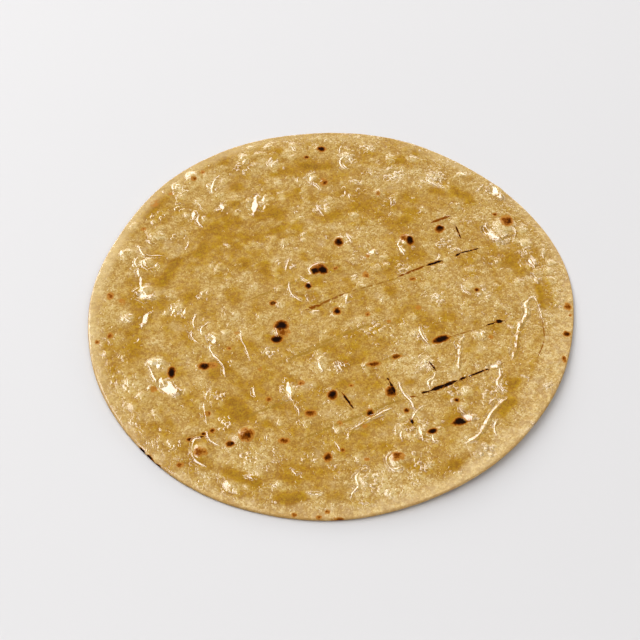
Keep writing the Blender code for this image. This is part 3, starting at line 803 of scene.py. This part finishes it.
FAR_FROM_LINES = 3.0  # offsets are stored up to this many half widths
LINE_REACH = 2.0      # mm: vertices further from a line are left alone
LINE_FADE = 0.6       # mm over which its darkness ends there
LINE_BLUNT = 0.4      # how wide it still is at the very end, as a share
LINE_END = (-0.02, 0.2)  # shares of its length over which its end tapers

line_offset = np.full(len(x), FAR_FROM_LINES)
line_dark = np.zeros(len(x))
for half_width, darkness, *points in LINES:
    near, offset, along = beside_path(points, LINE_REACH)
    to_end = np.minimum(along, 1 - along)
    taper = LINE_BLUNT + (1 - LINE_BLUNT) * ease(to_end, *LINE_END)
    place = offset / (half_width * taper)
    closer = np.abs(place) < np.abs(line_offset[near])
    line_offset[near[closer]] = place[closer]
    line_dark[near[closer]] = (darkness * ease(LINE_REACH - np.abs(offset), 0, LINE_FADE))[closer]
print(len(LINES), "pieces of line")

# %% [markdown]
# ## Close the bread underneath
#
# A bread seen only from above could be a single sheet, but ours has to be a closed body. A
# second hexagon sheet, with larger triangles, takes the under face. The two are joined, and
# Bridge Edge Loops sews their two open rims together, although one has more than three times as
# many corners as the other.

# %% Shape the upper sheet, make the under sheet and sew them
UNDER_CUTS = (5, 7)  # 6 x 8 = 48 rings
UNDER_INSET = 0.3 * MM

set_corners(upper.data, x, y, surface_z - side * (1 - np.cos(rolled)))
under = add_hexagon_sheet("under", UNDER_CUTS)
flat = corners(under.data)
under_angle = np.arctan2(flat[:, 1], flat[:, 0])
under_radius = hexagon_share(flat[:, 0], flat[:, 1]) * (outline_radius(under_angle) - UNDER_INSET)
under_x, under_y = under_radius * np.cos(under_angle), under_radius * np.sin(under_angle)
set_corners(under.data, under_x, under_y, guide_heights(under_x, under_y, from_above=False))
select_only(under)
bpy.ops.object.mode_set(mode="EDIT")
bpy.ops.mesh.select_all(action="SELECT")
bpy.ops.mesh.flip_normals()
bpy.ops.object.mode_set(mode="OBJECT")

select_only(upper)
under.select_set(True)
bpy.ops.object.join()
bread_piece = upper
bpy.ops.object.mode_set(mode="EDIT")
bpy.ops.mesh.select_mode(type="EDGE")
bpy.ops.mesh.select_all(action="DESELECT")
bpy.ops.mesh.select_non_manifold()
bpy.ops.mesh.bridge_edge_loops()
bpy.ops.mesh.select_all(action="SELECT")
bpy.ops.mesh.quads_convert_to_tris()
bpy.ops.mesh.normals_make_consistent(inside=False)
bpy.ops.mesh.select_all(action="DESELECT")
bpy.ops.mesh.select_non_manifold()
bpy.ops.object.mode_set(mode="OBJECT")
open_edges = sum(edge.select for edge in bread_piece.data.edges)
bpy.ops.object.shade_smooth()
bpy.data.objects.remove(guide)
print(len(bread_piece.data.polygons), "triangles,", open_edges, "open edges")

# %% [markdown]
# The material can't see our Python numbers. It reads attributes, which are numbers stored on the
# vertices of the mesh. The under face was joined on last, so its vertices come after all those of
# the upper face, and they get 0 for everything.

# %% Store what the material needs
def store(name, values):
    """One number on every vertex of the upper face, and 0 on the under face."""
    attribute = bread_piece.data.attributes.new(name, "FLOAT", "POINT")
    padded = np.zeros(len(bread_piece.data.vertices), dtype=np.float32)
    padded[:len(values)] = values
    attribute.data.foreach_set("value", padded)


stored = {
    "upper": np.ones(len(x)), "out": out, "depth": depth_mm, "film": film, "brushed": brushed,
    "dryness": dryness, "pale_edge": pale_edge, "trail": trail, "trail_height": trail_height,
    "drop_share": drop_share, "glitter": glitter, "toast": toast, "line_offset": line_offset,
    "line_dark": line_dark,
}
for name, values in stored.items():
    store(name, values)
print("stored:", ", ".join(stored))

# %% [markdown]
# ## Writing a material as sums
#
# A material is a net of nodes. Drawn by hand it's easy to read when it's small and hard when it
# isn't, so we write it as arithmetic. The class below holds one socket. Adding or multiplying
# two of them adds a Math node and gives back that node's output.

# %% Helpers for materials
class Value:
    """One number that varies over a surface: a socket that arithmetic works on."""

    def __init__(self, paint, socket):
        self.paint, self.socket = paint, socket

    def math(self, operation, *numbers):
        return self.paint.node("ShaderNodeMath", {"operation": operation},
                               dict(enumerate(numbers)))

    def __add__(self, other):
        return self.math("ADD", self, other)

    def __sub__(self, other):
        return self.math("SUBTRACT", self, other)

    def __rsub__(self, other):
        return self.math("SUBTRACT", other, self)

    def __mul__(self, other):
        return self.math("MULTIPLY", self, other)

    __radd__, __rmul__ = __add__, __mul__

    def size(self):
        return self.math("ABSOLUTE", self)

    def at_least(self, other):
        return self.math("MAXIMUM", self, other)

    def power(self, other):
        return self.math("POWER", self, other)

    def rise(self, low, high):
        """0 below low, 1 above high, and an even S between them."""
        return self.paint.node(
            "ShaderNodeMapRange", {"interpolation_type": "SMOOTHSTEP"},
            {"Value": self, "From Min": low, "From Max": high})


class Paint:
    """A new material, and the ways to add nodes to it."""

    def __init__(self, name):
        self.material = bpy.data.materials.new(name)
        self.material.use_nodes = True
        self.tree = self.material.node_tree
        self.surface = self.tree.nodes["Principled BSDF"]
        self.place = self.node("ShaderNodeTexCoord", {}, {}, "Object")

    def node(self, kind, settings, inputs, output=0):
        """Adds a node, sets it up, feeds its inputs, and gives back one of its outputs."""
        made = self.tree.nodes.new(kind)
        for name, value in settings.items():
            setattr(made, name, value)
        for name, value in inputs.items():
            self.feed(made.inputs[name], value)
        return Value(self, made.outputs[output])

    def feed(self, socket, value):
        if isinstance(value, Value):
            self.tree.links.new(value.socket, socket)
        else:
            socket.default_value = (*value, 1) if isinstance(value, tuple) else value

    def set(self, **inputs):
        """Feeds the surface's own sockets; an underscore stands for a space."""
        for name, value in inputs.items():
            self.feed(self.surface.inputs[name.replace("_", " ")], value)

    def cover(self, share, **inputs):
        """Lays a second finish over the first one where share is 1."""
        end = self.tree.nodes["Material Output"].inputs["Surface"]
        below = end.links[0].from_socket
        self.surface = self.tree.nodes.new("ShaderNodeBsdfPrincipled")
        self.set(**inputs)
        both = self.tree.nodes.new("ShaderNodeMixShader")
        self.feed(both.inputs[0], share)
        self.tree.links.new(below, both.inputs[1])
        self.tree.links.new(self.surface.outputs[0], both.inputs[2])
        self.tree.links.new(both.outputs[0], end)

    def stored(self, name):
        return self.node("ShaderNodeAttribute", {"attribute_name": name}, {}, "Fac")

    def along_x(self):
        """How far a place is to the right of the middle, in millimetres."""
        return self.node("ShaderNodeSeparateXYZ", {}, {0: self.place}, "X") * (1 / MM)

    def cloud(self, size, detail=2.0, roughness=0.5, seed=0.0):
        """Soft noise from 0 to 1, whose lumps are about size millimetres across."""
        return self.node("ShaderNodeTexNoise", {"noise_dimensions": "4D"},
                         {"Vector": self.place, "W": seed, "Scale": 1 / (size * MM),
                          "Detail": detail, "Roughness": roughness}, "Fac")

    def cells(self, size, **settings):
        """The distance to the nearest of many scattered points, size millimetres apart."""
        return self.node("ShaderNodeTexVoronoi", settings,
                         {"Vector": self.place, "Scale": 1 / (size * MM)}, "Distance")

    def mix(self, share, first, second):
        """A colour that is first where share is 0 and second where it is 1."""
        return self.node("ShaderNodeMix", {"data_type": "RGBA"},
                         {0: share, 6: first, 7: second}, 2)

    def tint(self, share, colour, filter_colour):
        """A colour as it shows through a filter, such as a yellow liquid."""
        return self.node("ShaderNodeMix", {"data_type": "RGBA", "blend_type": "MULTIPLY"},
                         {0: share, 6: colour, 7: filter_colour}, 2)

    def bump(self, height_mm):
        return self.node("ShaderNodeBump", {}, {"Height": height_mm, "Distance": MM,
                                                "Strength": 1.0})


# %% [markdown]
# ## The bread's finish
#
# Crumb is never one tan. It is mixed from three, deep, middle and pale, by a number called tone
# that adds clouds of four sizes: blotches, mottles, flecks and grain. Pale tan patches over it
# stand for floury crumb and also for a soft painted sheen. Ghee over it acts as a yellow filter,
# so it multiplies the crumb's colour instead of covering it, once where it is thin and a second
# time where it is deep. The dry edge gets sandy pale and dark patches, and goes pale at the rim,
# with painted shade in amber at its very edge. The under face never saw the brush: it has scorched
# patches instead.

# %% Colours, as red, green and blue light
CRUMB_DEEP = (0.44, 0.245, 0.050)
CRUMB_MID = (0.595, 0.385, 0.112)
CRUMB_PALE = (0.73, 0.55, 0.245)
WARM_FLECK = (0.47, 0.235, 0.055)
FLOURY_SHEEN_TAN = (0.64, 0.455, 0.235)
BRAN = (0.27, 0.12, 0.025)
GHEE_TINT = (0.745, 0.575, 0.02)   # what is left of each colour under ghee
DEEP_TINT = (0.80, 0.785, 0.22)    # and what is left of that where the ghee is deep
FLOUR_PALE = (0.76, 0.60, 0.37)
BAND_SHADE = (0.43, 0.25, 0.095)
EDGE_PALE = (0.92, 0.71, 0.37)
RIM_SHADE_AMBER = (0.56, 0.30, 0.07)
SCORCH_TAN = (0.34, 0.155, 0.035)

# %% Mix the crumb, the ghee and the edge
p = Paint("ghee_brushed_bread")
on_top = p.stored("upper")
dry_share = p.stored("dryness")
ghee_depth = p.stored("depth")

blotches = p.cloud(9, 3, 0.55) - 0.5
mottle = p.cloud(2.6, 2, 0.55, seed=3) - 0.5
flecks = p.cloud(1.15, 2, 0.6, seed=6) - 0.5
grain = p.cloud(0.55, 2, 0.6, seed=7) - 0.5
bare_top = (0.0 - ghee_depth).rise(0.02, 0.22)
pooling = (p.stored("film") * 3.0 + ghee_depth * 0.8 + p.stored("brushed") * 0.45
           + (p.cloud(16, 3, 0.65, seed=11) - 0.5) * 1.1
           + (p.cloud(6, 3, 0.65, seed=13) - 0.5) * 1.2
           + mottle * 0.6 + flecks * 0.2 + 0.57) * (1 - dry_share)
gold = pooling.rise(0.0, 0.85) * on_top
deep = pooling.rise(0.72, 1.15) * on_top
tone = (blotches * 0.9 + mottle * 1.4 + (flecks * 3.6 + grain * 4.2) * (1 - gold * 0.45)
        + bare_top * 0.35 - dry_share * 0.26 + 0.36)
colour = p.mix(tone.rise(-0.1, 0.5), CRUMB_DEEP, CRUMB_MID)
colour = p.mix(tone.rise(0.45, 1.15), colour, CRUMB_PALE)
colour = p.mix(p.cloud(1.5, 2, 0.6, seed=15).rise(0.54, 0.70) * 0.30, colour, WARM_FLECK)
# Paler tan patches a few millimetres across: floury crumb, and also a soft painted sheen of the
# ghee.
colour = p.mix(p.cloud(4.5, 3, 0.6, seed=16).rise(0.52, 0.66) * 0.35, colour, FLOURY_SHEEN_TAN)
colour = p.tint(gold, colour, GHEE_TINT)
colour = p.tint(deep * 0.8, colour, DEEP_TINT)

sandy = p.cloud(3.0, 3, 0.65, seed=18)
colour = p.mix(sandy.rise(0.52, 0.68) * dry_share * 0.35, colour, FLOUR_PALE)
colour = p.mix(sandy.rise(0.54, 0.38) * dry_share * 0.6, colour, BAND_SHADE)
specks = p.cells(1.7).rise(0.20, 0.10) * p.cloud(4, seed=2).rise(0.48, 0.6)
colour = p.mix(specks * 0.45, colour, BRAN)
colour = p.mix(p.stored("pale_edge") * (sandy * 0.9 + 0.17), colour, EDGE_PALE)
# Painted shade: the outermost rim and the side of the edge, which turn away from the light, are
# darkened towards amber.
shaded_rim = p.stored("out").rise(0.988, 1.0)
colour = p.mix(shaded_rim * 0.5, colour, RIM_SHADE_AMBER)
scorched = p.cloud(13, 3, 0.6, seed=19).rise(0.48, 0.66) * (1 - on_top)
colour = p.mix(scorched * 0.5, colour, SCORCH_TAN)
print("crumb, ghee and edge:", len(p.tree.nodes), "nodes")

# %% [markdown]
# A toasted spot is orange at its edge, then rust, brown, and black in its middle. One number,
# spot, says how far a place has gone, and each colour takes over at its own value. Noise is added
# to it first, so that no spot is a clean oval. The under face has spots of its own, wherever it is
# near one of a few scattered points. The griddle's lines go through the same colours, with gold
# along their sides, and break up where they are weak.

# %% Toast the spots and draw the lines
TOAST_ORANGE = (0.46, 0.175, 0.004)
TOAST_RUST = (0.22, 0.055, 0.0015)
TOAST_BROWN = (0.065, 0.014, 0.0)
CHAR = (0.010, 0.003, 0.001)
STREAK_GOLD = (0.36, 0.19, 0.008)

ragged = p.cloud(0.9, 2, 0.7, seed=5)
wandering = p.cloud(2.4, 1, seed=8)
uneven = ragged + wandering - 1.0
toasted = p.stored("toast")
underneath = (p.cells(17).rise(0.24, 0.04) + uneven * 0.8) * 0.9 * (1 - on_top)
spot = (toasted + uneven * 0.9 * toasted.rise(0.02, 0.3)).at_least(underneath)
colour = p.mix(spot.rise(0.04, 0.26) * 0.95, colour, TOAST_ORANGE)

across = p.stored("line_offset").size()
darkness = p.stored("line_dark")
broken = p.cloud(2.0, 1, seed=9).rise(0.32, 0.5)
line = (1 - (across + (ragged - 0.5) * 0.9).rise(0.55, 1.15)) * darkness
line = line * (0.5 + broken * 0.5)
colour = p.mix(line.rise(0.05, 0.3) * (0.15 + broken * 0.65), colour, STREAK_GOLD)
fringe = (1 - (across + (wandering - 0.5) * 1.2).rise(0.8, 2.4)) * darkness
colour = p.mix((fringe * broken).rise(0.34, 0.8) * 0.7, colour, TOAST_ORANGE)

charred = spot.rise(0.34, 0.54).at_least(line.rise(0.35, 0.5))
browned = spot.rise(0.56, 0.78).at_least(line.rise(0.55, 0.75))
blackened = spot.rise(0.82, 1.0).at_least(line.rise(0.72, 0.88))
char_colour = p.mix(browned, TOAST_RUST, TOAST_BROWN)
char_colour = p.mix(blackened, char_colour, CHAR)
print("with spots and lines:", len(p.tree.nodes), "nodes")

# %% [markdown]
# ## The relief of the wet face
#
# What is finer than the mesh is drawn as bump: the crumb, wet points in the glittering patches,
# and the tops of the trails. The crumb and the film of ghee are two heights, and the higher one
# shows, with a fillet between them, as in the mesh. A point is a small upturned bowl whose height
# falls with the square of the distance, so its slope is greatest at its foot, where it meets the
# ghee. Toasted places are dry, so they don't glitter, and drops and trails are smooth.

# %% Work out the relief of the wet face
FILLET_MM = 0.05  # how far ghee climbs up a crumb


def points_of(size, height):
    """Scattered round points, size millimetres apart and at most height millimetres high."""
    away = p.cells(size)
    return (0.25 - away * away).at_least(0) * (4 * height)


def higher(first, second):
    """The higher of two heights, with a rounded fillet where they meet."""
    gap = first - second
    return (first + second + (gap * gap + FILLET_MM**2).power(0.5)) * 0.5


glittering = p.stored("glitter")
frothy = glittering.at_least(p.cloud(8, 2, 0.6, seed=14).rise(0.60, 0.70) * 0.7)
sparkling = p.cloud(3, 2, 0.6, seed=17).rise(0.54, 0.68)
crumb = mottle * 0.20 + flecks * 0.22 + grain * 0.13
crumb = crumb + points_of(2.0, 0.32) * frothy + points_of(1.0, 0.12) * sparkling
crumb = crumb * (p.along_x() * 0.006 + 1.0) * (1 - spot.rise(0.05, 0.3))
film_mm = p.stored("film") + 0.01
relief = higher(crumb, film_mm) - higher(film_mm, 0)

trail_off = p.stored("trail")
crest = 1.04 - (trail_off * trail_off + 0.06).power(0.5)
cap = crest.at_least(0) * p.stored("trail_height")
on_trail = cap.rise(0.0, 0.02)
on_drop = p.stored("drop_share")
relief_normal = p.bump((relief * (1 - on_trail) + cap) * (1 - on_drop))
print("with the relief:", len(p.tree.nodes), "nodes")

# %% [markdown]
# Three finishes lie over each other, and a share from 0 to 1 says where each shows. Ghee is
# smooth, so it mirrors the lamps. Bare crumb is rough. Char is rougher still and hardly shines.

# %% Lay three finishes over each other: wet, bare crumb, charred
soaked_in = p.cloud(6, 3, 0.6, seed=12).rise(0.40, 0.60)
wet_here = ((1 - dry_share) * (1 - soaked_in * 0.5)).at_least(glittering)
wet_here = wet_here * (1 - spot.rise(0.08, 0.35) * 0.85)
wet_here = wet_here.at_least(on_trail).at_least(on_drop) * on_top
p.set(Base_Color=colour, Roughness=0.08, IOR=1.6, Specular_IOR_Level=1.0,
      Normal=relief_normal)
p.cover(1 - wet_here, Base_Color=colour, Roughness=0.55, Specular_IOR_Level=0.25,
        Normal=relief_normal)
p.cover(charred * (1 - on_trail) * (1 - on_drop), Base_Color=char_colour, Roughness=0.8,
        Specular_IOR_Level=0.02)
bread_piece.data.materials.clear()
bread_piece.data.materials.append(p.material)
print(p.material.name, "has", len(p.tree.nodes), "nodes")

# %% [markdown]
# ## Hang the bread on the frame
#
# The frame has one body, the bread itself, so the new piece rides on its root. It takes the place
# of the CAD node, which is hidden, and its finish goes by the name that the CAD model gave it.

# %% Hang the piece on the frame
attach(bread_piece, "root")
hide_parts("roti")

# %% [markdown]
# ## The floor and the light
#
# Food is lit from behind, so that the light glances off every wet bump towards the camera. Here
# a long strip lamp leans at the back left, and a low one lies straight behind. A small lamp would
# show only in ridges that run one way, and a large one would mirror in the flat ghee and hide its
# gold. Strips show in ridges of many directions, and these stay clear of the patch of sky that
# the flat ghee mirrors. A weak lamp at the front right and a pale sky fill the shadows. Blender's
# Standard view transform shows a pale floor as pale as it is.

# %% Floor
FLOOR_SIZE = 6.0
FLOOR_COLOUR = (0.70, 0.69, 0.695)

bpy.ops.object.select_all(action="DESELECT")
bpy.ops.mesh.primitive_plane_add(size=FLOOR_SIZE)
floor = bpy.context.object
floor.name = "floor"
floor_paint = Paint("pale_floor")
floor_paint.set(Base_Color=FLOOR_COLOUR, Roughness=0.6)
floor.data.materials.append(floor_paint.material)
print("floor: %.0f m square" % FLOOR_SIZE)

# %% Lights
SOFTBOX_DISTANCE = 2.8
SOFTBOX_WIDTH, SOFTBOX_LENGTH = 0.9, 5.2
SOFTBOX_RADIANCE = 6.3
BACKLIGHT_WIDTH, BACKLIGHT_LENGTH = 0.75, 3.6
BACKLIGHT_RADIANCE = 4.2
FILL_DISTANCE, FILL_SIZE, FILL_RADIANCE = 2.0, 1.6, 1.6


def direction(azimuth, elevation):
    """The way to a place in the sky, in degrees from +X and above the floor."""
    azimuth, elevation = math.radians(azimuth), math.radians(elevation)
    return Vector((math.cos(azimuth) * math.cos(elevation),
                   math.sin(azimuth) * math.cos(elevation), math.sin(elevation)))


def add_softbox(name, way, lean, distance, width, length, radiance):
    """A rectangular lamp that faces the bread, with its length along lean."""
    long_side = (lean - way * lean.dot(way)).normalized()
    turn = Matrix((long_side.cross(way), long_side, way)).transposed()
    bpy.ops.object.light_add(type="AREA", location=way * distance, rotation=turn.to_euler())
    softbox = bpy.context.object
    softbox.name = name
    softbox.data.shape = "RECTANGLE"
    softbox.data.size, softbox.data.size_y = width, length
    softbox.data.energy = radiance * math.pi * width * length
    print("%s lamp: %.0f W" % (name, softbox.data.energy))


add_softbox("key", direction(142, 56), direction(170, 80) - direction(106, 18),
            SOFTBOX_DISTANCE, SOFTBOX_WIDTH, SOFTBOX_LENGTH, SOFTBOX_RADIANCE)
add_softbox("backlight", direction(84, 14), Vector((1, 0, 0)),
            SOFTBOX_DISTANCE, BACKLIGHT_WIDTH, BACKLIGHT_LENGTH, BACKLIGHT_RADIANCE)
add_softbox("fill", direction(-50, 60), Vector((0, 0, 1)),
            FILL_DISTANCE, FILL_SIZE, FILL_SIZE, FILL_RADIANCE)

# %% Sky: dim overhead, pale at the horizon
SKY_COLOUR = (1.0, 0.99, 0.985, 1)
SKY_STRENGTH, HORIZON_STRENGTH = 0.16, 0.55
HAZE_TOP = 0.42  # the height of the haze, as a share of straight up

sky = bpy.data.worlds.new("sky")
sky.use_nodes = True
background = sky.node_tree.nodes["Background"]
background.inputs["Color"].default_value = SKY_COLOUR
towards = sky.node_tree.nodes.new("ShaderNodeTexCoord")
height = sky.node_tree.nodes.new("ShaderNodeSeparateXYZ")
haze = sky.node_tree.nodes.new("ShaderNodeMapRange")
haze.interpolation_type = "SMOOTHSTEP"
haze.inputs["From Max"].default_value = HAZE_TOP
haze.inputs["To Min"].default_value = HORIZON_STRENGTH
haze.inputs["To Max"].default_value = SKY_STRENGTH
sky.node_tree.links.new(towards.outputs["Generated"], height.inputs[0])
sky.node_tree.links.new(height.outputs["Z"], haze.inputs["Value"])
sky.node_tree.links.new(haze.outputs[0], background.inputs["Strength"])
bpy.context.scene.world = sky
bpy.context.scene.view_settings.view_transform = "Standard"
print("sky: %.2f overhead, %.2f at the horizon" % (SKY_STRENGTH, HORIZON_STRENGTH))

# %% [markdown]
# ## The camera
#
# The camera looks down at 50 degrees, as someone does who sits at a table. Its lens and distance
# are a pair: this far away, the bread fills as much of the picture as in the photograph, and its
# back looks as much smaller than its front.

# %% Camera
CAMERA_ELEVATION = math.radians(50)
CAMERA_DISTANCE = 0.5165
CAMERA_TARGET = Vector((-4.75 * MM, -7.3 * MM, 0))
LENS, SENSOR_WIDTH = 50, 24  # mm
NEAREST = 0.01

back = Vector((0, -math.cos(CAMERA_ELEVATION), math.sin(CAMERA_ELEVATION)))
bpy.ops.object.camera_add(location=CAMERA_TARGET + back * CAMERA_DISTANCE)
camera = bpy.context.object
camera.rotation_euler = back.to_track_quat("Z", "Y").to_euler()
camera.data.lens = LENS
camera.data.sensor_width = SENSOR_WIDTH
camera.data.clip_start = NEAREST
bpy.context.scene.camera = camera
print("camera: %.0f mm from the bread" % (CAMERA_DISTANCE / MM))
